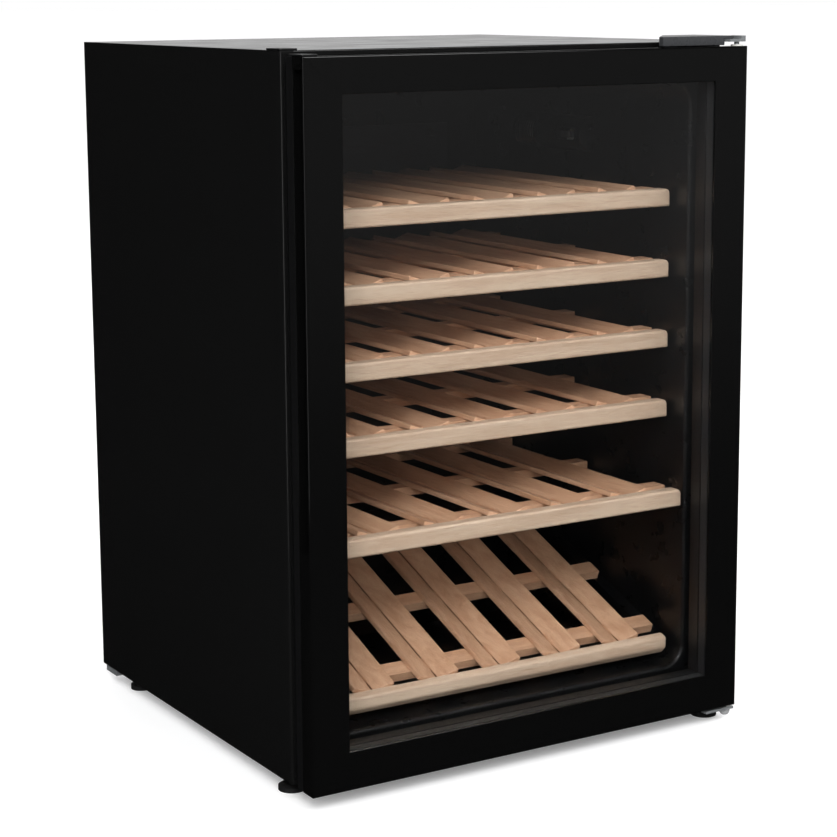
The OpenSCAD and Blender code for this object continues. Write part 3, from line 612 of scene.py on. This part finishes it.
class COOLER_OT_cabinet(CoolerOperator, bpy.types.Operator):
    """Side panels, top panel, back panel, chassis and caps"""

    bl_idname = "cooler.cabinet"
    bl_label = "Cabinet shell"

    def build(self, sizes):
        self.top_panel(sizes)
        for side in ("left", "right"):
            refined(f"side_panel_{side}", f"side_skin_{side}", "lacquer", "black_steel", sizes.edge / 2)
        refined("blanking_cap", "blanking_plug", "black", "black_plastic", sizes.edge)
        refined("back_panel", "back_sheet", "lacquer", "black_steel", sizes.edge / 2)
        refined("front_crossmember", "front_sill", "lacquer", "black_steel", sizes.edge)
        smoothed("compartment_cover", "vented_cover", "lacquer", "black_steel")
        refined("bottom_panel", "floor_sheet", "zinc", "zinc_steel", sizes.edge)
        refined("compressor_tray", "tray_sheet", "zinc", "zinc_steel", sizes.edge)
        painted("insulation_foam", "foam")

    def top_panel(self, sizes):
        """One sheet, its front and back edges folded down between the side panels' own folds."""
        low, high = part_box("top_panel")
        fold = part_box("back_panel")[1].x
        middle = (low + high) / 2
        bpy.ops.object.select_all(action="DESELECT")
        bpy.ops.mesh.primitive_plane_add(size=1, location=(middle.x, middle.y, high.z))
        panel = bpy.context.object
        panel.scale = (high.x - low.x, high.y - low.y, 1)
        settled("top_sheet")
        for x in (-fold, fold):
            pick(panel, "VERT", lambda vertex: True)
            bpy.ops.mesh.bisect(plane_co=(x, 0, high.z), plane_no=(1, 0, 0))
            leave_edit()

        def between(edge):
            return all(abs(v.co.x) < fold + MM for v in edge.verts)

        def ends(edge, y):
            return all(abs(v.co.y - y) < MM / 10 for v in edge.verts)

        for y in (low.y, high.y):
            pick(panel, "EDGE", lambda edge: between(edge) and ends(edge, y))
            bpy.ops.mesh.extrude_region_move(TRANSFORM_OT_translate={"value": (0, 0, low.z - high.z)})
            leave_edit()
        pick(
            panel,
            "EDGE",
            lambda edge: between(edge)
            and (ends(edge, low.y) or ends(edge, high.y))
            and all(v.co.z > high.z - MM / 10 for v in edge.verts),
        )
        bpy.ops.mesh.bevel(offset=sizes.fold, segments=4, profile=0.5)
        bpy.ops.mesh.select_all(action="SELECT")
        bpy.ops.mesh.normals_make_consistent(inside=False)
        leave_edit()
        if panel.data.polygons[0].normal.z < 0:
            panel.data.flip_normals()
        modified(panel, "SOLIDIFY", thickness=sizes.sheet, offset=-1)
        eased(panel, sizes.edge / 2)
        dressed(panel, "lacquer", "cabinet", "black_steel", "top_panel")


class COOLER_OT_hinges(CoolerOperator, bpy.types.Operator):
    """Hinge plates, pins, bushes, screws and the top hinge's cover"""

    bl_idname = "cooler.hinges"
    bl_label = "Hinges"

    def build(self, sizes):
        refined("hinge_cover_top", "hinge_cover", "grey", "grey_plastic", sizes.cover_edge)
        refined("hinge_plate_top", "hinge_plate", "zinc", "zinc_steel", sizes.edge)
        refined("hinge_bracket_bottom", "hinge_bracket", "zinc", "zinc_steel", sizes.edge)
        refined("hinge_pin_bottom", "hinge_pin", "chrome", "chrome", sizes.edge / 2)
        refined("hinge_screws", "countersunk_screws", "zinc", "zinc_steel", sizes.edge / 2)
        refined("hinge_bushes", "pivot_bushes", "white", "white_plastic", sizes.edge / 2)


class COOLER_OT_feet(CoolerOperator, bpy.types.Operator):
    """Levelling feet at the front and fixed feet at the back"""

    bl_idname = "cooler.feet"
    bl_label = "Feet"

    def build(self, sizes):
        for side in ("left", "right"):
            refined(f"front_foot_{side}", f"levelling_foot_{side}", "rubber", "rubber", sizes.edge)
        refined("rear_feet", "fixed_feet", "rubber", "rubber", sizes.edge)


class COOLER_OT_interior(CoolerOperator, bpy.types.Operator):
    """Liner, cold plate and its clips"""

    bl_idname = "cooler.interior"
    bl_label = "Interior"

    def build(self, sizes):
        self.liner(sizes)
        refined("evaporator_plate", "cold_plate", "cold", "cold_plate", 2 * sizes.edge)
        refined("evaporator_clips", "plate_clips", "black", "black_plastic", sizes.edge)

    def liner(self, sizes):
        """The formed liner, with a soft radius round its front opening."""
        liner = merged_copy("inner_liner", "formed_liner")
        low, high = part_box("inner_liner")
        flange = 20 * MM  # what lies nearer the outline than this is the flange's own rim
        pick(
            liner,
            "EDGE",
            lambda edge: all(abs(v.co.y - low.y) < MM / 10 for v in edge.verts)
            and all(
                abs(v.co.x) < high.x - flange and low.z + flange < v.co.z < high.z - flange
                for v in edge.verts
            )
            and not edge.is_boundary
            and abs(edge.calc_face_angle(0)) > 1,
        )
        bpy.ops.mesh.bevel(offset=sizes.liner_edge, segments=5, profile=0.5)
        leave_edit()
        shaded(liner)
        dressed(liner, "liner", "cabinet", "liner_plastic", "inner_liner")


class COOLER_OT_controls(CoolerOperator, bpy.types.Operator):
    """Control housing, thermostat, dial and lamp"""

    bl_idname = "cooler.controls"
    bl_label = "Controls and lamp"

    def build(self, sizes):
        self.housing(sizes)
        refined("thermostat_body", "thermostat_case", "white", "white_plastic", sizes.edge)
        refined("thermostat_dial", "thumbwheel", "dial", "dial_plastic", sizes.edge)
        refined("led_board", "lamp_board", "white", "white_plastic", sizes.edge / 2)
        refined("lamp_lens", "ribbed_lens", "lens", "clear_plastic", sizes.edge)

    def housing(self, sizes):
        """The control housing, its near end well rounded."""
        shell = merged_copy("control_housing", "housing_shell")
        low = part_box("control_housing")[0]
        near_end = 25 * MM
        pick(
            shell,
            "EDGE",
            lambda edge: all(abs(v.co.y - low.y) < MM / 10 for v in edge.verts)
            and edge.calc_face_angle(0) > 1
            and any(v.co.x < low.x + near_end for v in edge.verts),
        )
        bpy.ops.mesh.bevel(offset=sizes.housing_end, segments=5, profile=0.5, clamp_overlap=True)
        leave_edit()
        eased(shell, sizes.edge)
        dressed(shell, "liner", "cabinet", "liner_plastic", "control_housing")


class COOLER_OT_cooling(CoolerOperator, bpy.types.Operator):
    """Compressor, its mountings and the pipes"""

    bl_idname = "cooler.cooling"
    bl_label = "Cooling unit"

    def build(self, sizes):
        refined("compressor", "compressor_pot", "pot", "compressor_black", sizes.edge)
        refined("terminal_box", "terminal_cover", "black", "black_plastic", 2 * sizes.edge)
        refined("power_inlet", "mains_inlet", "black", "black_plastic", sizes.edge)
        refined("drip_tray", "evaporation_tray", "white", "white_plastic", sizes.edge)
        smoothed("compressor_grommets", "mounting_grommets", "rubber", "rubber")
        refined("compressor_bolts", "mounting_bolts", "zinc", "zinc_steel", sizes.edge)
        smoothed("condenser_tube", "skin_condenser", "copper", "copper")
        smoothed("filter_drier", "drier", "copper", "copper")
        smoothed("refrigerant_pipes", "pipes", "copper", "copper")
        smoothed("drain_tube", "drain_hose", "white", "white_plastic")


# ---- door ----


class COOLER_OT_door(CoolerOperator, bpy.types.Operator):
    """Door frame, double glazing, retaining frame, seal and plug"""

    bl_idname = "cooler.door"
    bl_label = "Door"

    def build(self, sizes):
        for node in ("door_stile_left", "door_stile_right", "door_rail_top", "door_rail_bottom"):
            refined(node, node.replace("door_", "door_frame_"), "gloss", "gloss_black", sizes.edge)
        for node in ("glass_outer", "glass_inner"):
            pane = block(f"pane_{node[6:]}", *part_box(node))
            eased(pane, sizes.glass_edge, segments=1)
            pane.visible_shadow = False
            dressed(pane, "glass", "door", "glass", node)
        refined("glazing_spacer", "spacer_bar", "spacer", "spacer", sizes.edge)
        refined("retaining_frame", "inner_frame", "black", "black_plastic", sizes.edge)
        refined("door_plug", "hinge_hole_plug", "black", "black_plastic", sizes.edge)
        self.seal(sizes)

    def seal(self, sizes):
        """Magnetic seal: a foot in the inner frame's groove, a neck with one fold, and a magnet pocket."""
        low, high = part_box("door_gasket")
        depth = high.y - low.y
        wide = sizes.gasket_width
        neck = (wide - sizes.gasket_neck) / 2
        fold = (wide - sizes.gasket_fold) / 2
        rings = []
        # each ring: how far it is drawn in, and where it starts and ends as shares of the depth
        for number, (inset, start, end) in enumerate(
            ((0, 0, 0.17), (neck, 0.12, 0.7), (fold, 0.36, 0.5), (0, 0.64, 1)), start=1
        ):
            inward = Vector((inset, 0, inset))
            near = Vector((low.x, low.y + start * depth, low.z)) + inward
            far = Vector((high.x, low.y + end * depth, high.z)) - inward
            rings.append(self.ring(f"seal_ring_{number}", near, far, wide - 2 * inset))
        only(rings[0])
        for part in rings:
            part.select_set(True)
        bpy.ops.object.join()
        rings[0].name = rings[0].data.name = "magnetic_seal"
        eased(rings[0], sizes.gasket_edge)
        dressed(rings[0], "rubber", "door", "rubber", "door_gasket")

    def ring(self, name, low, high, width):
        """A rectangular ring between two corners, that wide, standing in the door's plane."""
        bpy.ops.object.select_all(action="DESELECT")
        middle = (low + high) / 2
        bpy.ops.mesh.primitive_plane_add(
            size=1, location=(middle.x, low.y, middle.z), rotation=(-math.pi / 2, 0, 0)
        )
        bpy.context.object.scale = (high.x - low.x, high.z - low.z, 1)
        made = settled(name)
        pick(made, "FACE", lambda face: True)
        bpy.ops.mesh.inset(thickness=width, depth=0)
        bpy.ops.mesh.delete(type="FACE")
        bpy.ops.mesh.select_all(action="SELECT")
        bpy.ops.mesh.extrude_region_move(TRANSFORM_OT_translate={"value": (0, high.y - low.y, 0)})
        bpy.ops.mesh.select_all(action="SELECT")
        bpy.ops.mesh.normals_make_consistent(inside=False)
        leave_edit()
        return made


# ---- shelves ----


class COOLER_OT_shelves(CoolerOperator, bpy.types.Operator):
    """Five sliding beech shelves and the sloping display shelf"""

    bl_idname = "cooler.shelves"
    bl_label = "Shelves"

    def build(self, sizes):
        for number in SHELVES:
            low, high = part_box(f"shelf_{number}_fascia")
            fascia = self.fascia(f"fascia_{number}", low, high, sizes)
            dressed(fascia, "beech_fascia", f"shelf_{number}", "beech", f"shelf_{number}_fascia")
            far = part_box(f"shelf_{number}_rack")[1].y
            front = Vector((0, low.y, high.z))
            parts = self.rack(front, high.y - low.y, far - low.y, high.x, sizes, f"rack_{number}")
            # the slats and battens take the beech finishes with painted shade
            for part, grain in zip(parts, ("beech_slats_painted_shade", "beech_battens_painted_shade")):
                dressed(part, grain, f"shelf_{number}", "beech", f"shelf_{number}_rack")
        self.display(sizes)

    def fascia(self, name, low, high, sizes):
        """A planed strip: its upper corners and its front edges are well rounded, and the rest is eased."""
        strip = block(name, low, high)
        pick(
            strip,
            "EDGE",
            lambda edge: all(v.co.z > high.z - MM for v in edge.verts)
            and abs(edge.verts[0].co.x - edge.verts[1].co.x) < MM,
        )
        bpy.ops.mesh.bevel(offset=sizes.fascia_end, segments=6, profile=0.5)
        leave_edit()
        pick(strip, "EDGE", lambda edge: all(v.co.y < low.y + MM for v in edge.verts))
        bpy.ops.mesh.bevel(offset=sizes.fascia_edge, segments=5, profile=0.5)
        leave_edit()
        return eased(strip, 2 * sizes.edge, angle=35)

    def rack(self, front, depth, length, half, sizes, name, place=Matrix.Identity(4)):
        """Slats in pairs that make the cradles, and the notched battens under them."""
        tilt = Matrix.Rotation(-sizes.slat_tilt, 4, "Y")
        slat = block(
            f"{name}_slats",
            (0, depth, -sizes.slat_thickness),
            (sizes.slat_width, length, 0),
        )
        eased(slat, sizes.slat_edge, segments=3)
        lift = Matrix.Translation((sizes.slat_gap / 2, 0, -sizes.slat_low))
        count = int(2 * half / sizes.cradle_pitch)
        flip = Matrix.Diagonal((-1, 1, 1, 1))
        flanks = []
        for cradle in range(count):
            across = Matrix.Translation(((cradle - (count - 1) / 2) * sizes.cradle_pitch, 0, 0))
            for side in (Matrix.Identity(4), flip):
                flanks.append(across @ side @ lift @ tilt)
        stand = Matrix.Translation(front) @ place
        slats = copies(slat, [stand @ flank for flank in flanks], f"{name}_slats")
        pick(slats, "VERT", lambda vertex: True)
        bpy.ops.mesh.normals_make_consistent(inside=False)
        leave_edit()
        below_slats = 2.5 * MM
        top_drop = 1.5 * MM
        under = sizes.slat_low + sizes.slat_thickness + below_slats
        batten = block(f"{name}_battens", (-half, 0, -under), (half, sizes.batten_width, -top_drop))
        spare = MM / 10
        cutter = block(
            "notch",
            (0, -MM, -sizes.slat_thickness - spare),
            (sizes.slat_width + spare, sizes.batten_width + MM, sizes.slat_width),
        )
        notches = copies(cutter, flanks, "notch")
        pick(notches, "VERT", lambda vertex: True)
        bpy.ops.mesh.normals_make_consistent(inside=False)
        leave_edit()
        modified(batten, "BOOLEAN", object=notches, operation="DIFFERENCE", solver="EXACT", use_self=True)
        bpy.data.objects.remove(notches)
        last = length - sizes.batten_width
        starts = (depth + sizes.batten_set, (depth + last) / 2, last - sizes.batten_set / 3)
        battens = copies(
            batten,
            [stand @ Matrix.Translation((0, y, 0)) for y in starts],
            f"{name}_battens",
        )
        return slats, battens

    def display(self, sizes):
        """The fixed display shelf slopes down towards the door, and its fascia is crowned."""
        fascia = merged_copy("display_fascia", "fascia_display")
        eased(fascia, sizes.crown_edge, segments=4)
        dressed(fascia, "beech_fascia", "cabinet", "beech", "display_fascia")
        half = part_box("display_fascia")[1].x
        slope = Matrix.Rotation(sizes.display_tilt, 4, "X")
        foot = Vector((0, -sizes.display_front, sizes.display_foot))
        front = foot + slope.to_3x3() @ Vector((0, 0, sizes.display_height))
        parts = self.rack(
            front, sizes.display_depth, sizes.display_length, half, sizes, "rack_display", slope
        )
        # the slats and battens take the beech finishes with painted shade
        for part, grain in zip(parts, ("beech_slats_painted_shade", "beech_battens_painted_shade")):
            dressed(part, grain, "cabinet", "beech", "display_rack")


# ---- studio ----


class COOLER_OT_studio(CoolerOperator, bpy.types.Operator):
    """Pale floor, soft studio lights and the camera"""

    bl_idname = "cooler.studio"
    bl_label = "Studio"

    def build(self, sizes):
        self.floor()
        self.sky()
        self.lights()
        self.camera()

    def floor(self):
        """A wide pale floor that black gloss doesn't mirror and that glass doesn't show."""
        bpy.ops.object.select_all(action="DESELECT")
        bpy.ops.mesh.primitive_plane_add(size=200)
        floor = settled("studio_floor")
        material, tree, shader, place = surface(
            "painted_floor", IOR=1.4, Emission_Color=linear("ffffff"), Emission_Strength=0.2
        )
        uneven_colour(tree, shader, place, 400, linear("f8f8f8"), linear("f4f4f5"))
        uneven_gloss(tree, shader, place, 120, 0.75, 0.85)
        floor.data.materials.append(material)
        floor.visible_glossy = False
        floor.visible_transmission = False

    def sky(self):
        """An even white surround that lights the object but isn't mirrored in it. Rays that have passed
        through glass don't see it either, so a pane with nothing else behind it, as in the open door,
        shows black."""
        world = bpy.data.worlds.new("studio_surround")
        world.use_nodes = True
        background = world.node_tree.nodes["Background"]
        background.inputs["Color"].default_value = linear("ffffff")
        background.inputs["Strength"].default_value = 1.0
        world.cycles_visibility.glossy = False
        world.cycles_visibility.transmission = False
        bpy.context.scene.world = world

    def lights(self):
        """Each softbox: place, aim, width, height and watts."""
        for name, place, aim, width, height, power in (
            ("key", (-2.6, -4.2, 3.2), (0, -0.1, 0.45), 2.2, 2.2, 215),
            ("fill", (1.6, -3.4, 3.8), (0, -0.2, 0.4), 2.4, 2.0, 80),
        ):
            light = bpy.data.lights.new(name, "AREA")
            light.shape = "RECTANGLE"
            light.size = width
            light.size_y = height
            light.energy = power
            lamp = bpy.data.objects.new(name, light)
            bpy.context.scene.collection.objects.link(lamp)
            lamp.location = place
            lamp.rotation_euler = (Vector(aim) - Vector(place)).to_track_quat("-Z", "Y").to_euler()
            lamp.visible_camera = False
        # white cards that show only as reflections: place, aim, width and height,
        # and the brightness at the foot and at the top
        for name, place, aim, width, height, low, high in (
            ("edge_card", (-3.6, -2.1, 0.9), (-0.3, -0.25, 0.6), 0.7, 3.0, 2.6, 2.6),
            ("back_card", (3.0, 4.9, 2.3), (0, 0, 0.834), 9.0, 3.4, 0.74, 0.74),
            ("front_card", (1.9, -3.4, 0.0), (0, -0.3, 0.0), 5.0, 1.8, 0.0, 0.115),
        ):
            bpy.ops.object.select_all(action="DESELECT")
            bpy.ops.mesh.primitive_plane_add(size=1)
            card = bpy.context.object
            card.scale = (width, height, 1)
            card.location = place
            card.rotation_euler = (Vector(aim) - Vector(place)).to_track_quat("Z", "Y").to_euler()
            settled(name)
            paper = bpy.data.materials.new(name)
            paper.use_nodes = True
            tree = paper.node_tree
            tree.nodes.clear()
            spot = add_node(tree, "ShaderNodeTexCoord").outputs["Object"]
            level = add_node(tree, "ShaderNodeSeparateXYZ", {"Vector": spot}).outputs["Z"]
            glow = add_node(
                tree,
                "ShaderNodeMapRange",
                {
                    "Value": level,
                    "From Min": place[2] - height / 2,
                    "From Max": place[2] + height / 2,
                    "To Min": low,
                    "To Max": high,
                },
                interpolation_type="SMOOTHERSTEP",
            )
            lit = add_node(
                tree, "ShaderNodeEmission", {"Color": linear("ffffff"), "Strength": glow.outputs["Result"]}
            )
            add_node(tree, "ShaderNodeOutputMaterial", {"Surface": lit.outputs["Emission"]})
            card.data.materials.append(paper)
            card.visible_camera = False
            card.visible_diffuse = False
            card.visible_shadow = False

    def camera(self):
        """A long lens at eye level of the object, looking slightly down at its left front corner."""
        data = bpy.data.cameras.new("camera")
        data.lens = 92.9
        data.sensor_width = 36
        data.shift_y = -0.07
        camera = bpy.data.objects.new("camera", data)
        bpy.context.scene.collection.objects.link(camera)
        yaw, pitch, roll = (math.radians(a) for a in (31.32, 9.74, -0.35))
        camera.location = (-1.3705, -2.2809, 0.897)
        turn = Matrix.Rotation(-yaw, 3, "Z") @ Matrix.Rotation(math.pi / 2 - pitch, 3, "X")
        camera.rotation_euler = (turn @ Matrix.Rotation(roll, 3, "Z")).to_euler()
        data.clip_end = 100
        bpy.context.scene.camera = camera
        bpy.context.scene.view_settings.view_transform = "Standard"


class COOLER_PT_panel(bpy.types.Panel):
    """Wine cooler's pieces, sizes and colours"""

    bl_label = "Wine cooler"
    bl_idname = "COOLER_PT_panel"
    bl_space_type = "VIEW_3D"
    bl_region_type = "UI"
    bl_category = "Wine cooler"

    def draw(self, context):
        for operator in OPERATORS:
            self.layout.operator(operator.bl_idname)
        for group in (context.scene.cooler_sizes, context.scene.cooler_colours):
            for name in group.bl_rna.properties.keys():
                if name not in ("rna_type", "name"):
                    self.layout.prop(group, name)


OPERATORS = (
    COOLER_OT_studio,
    COOLER_OT_cabinet,
    COOLER_OT_hinges,
    COOLER_OT_feet,
    COOLER_OT_interior,
    COOLER_OT_controls,
    COOLER_OT_cooling,
    COOLER_OT_door,
    COOLER_OT_shelves,
)
CLASSES = (CoolerSizes, CoolerColours, *OPERATORS, COOLER_PT_panel)


def register():
    for made in CLASSES:
        bpy.utils.register_class(made)
    bpy.types.Scene.cooler_sizes = PointerProperty(type=CoolerSizes)
    bpy.types.Scene.cooler_colours = PointerProperty(type=CoolerColours)


def unregister():
    del bpy.types.Scene.cooler_colours
    del bpy.types.Scene.cooler_sizes
    for made in reversed(CLASSES):
        bpy.utils.unregister_class(made)


def main():
    """Builds everything in order."""
    register()
    for operator in OPERATORS:
        group, call = operator.bl_idname.split(".")
        getattr(getattr(bpy.ops, group), call)()


if __name__ == "__main__":
    main()
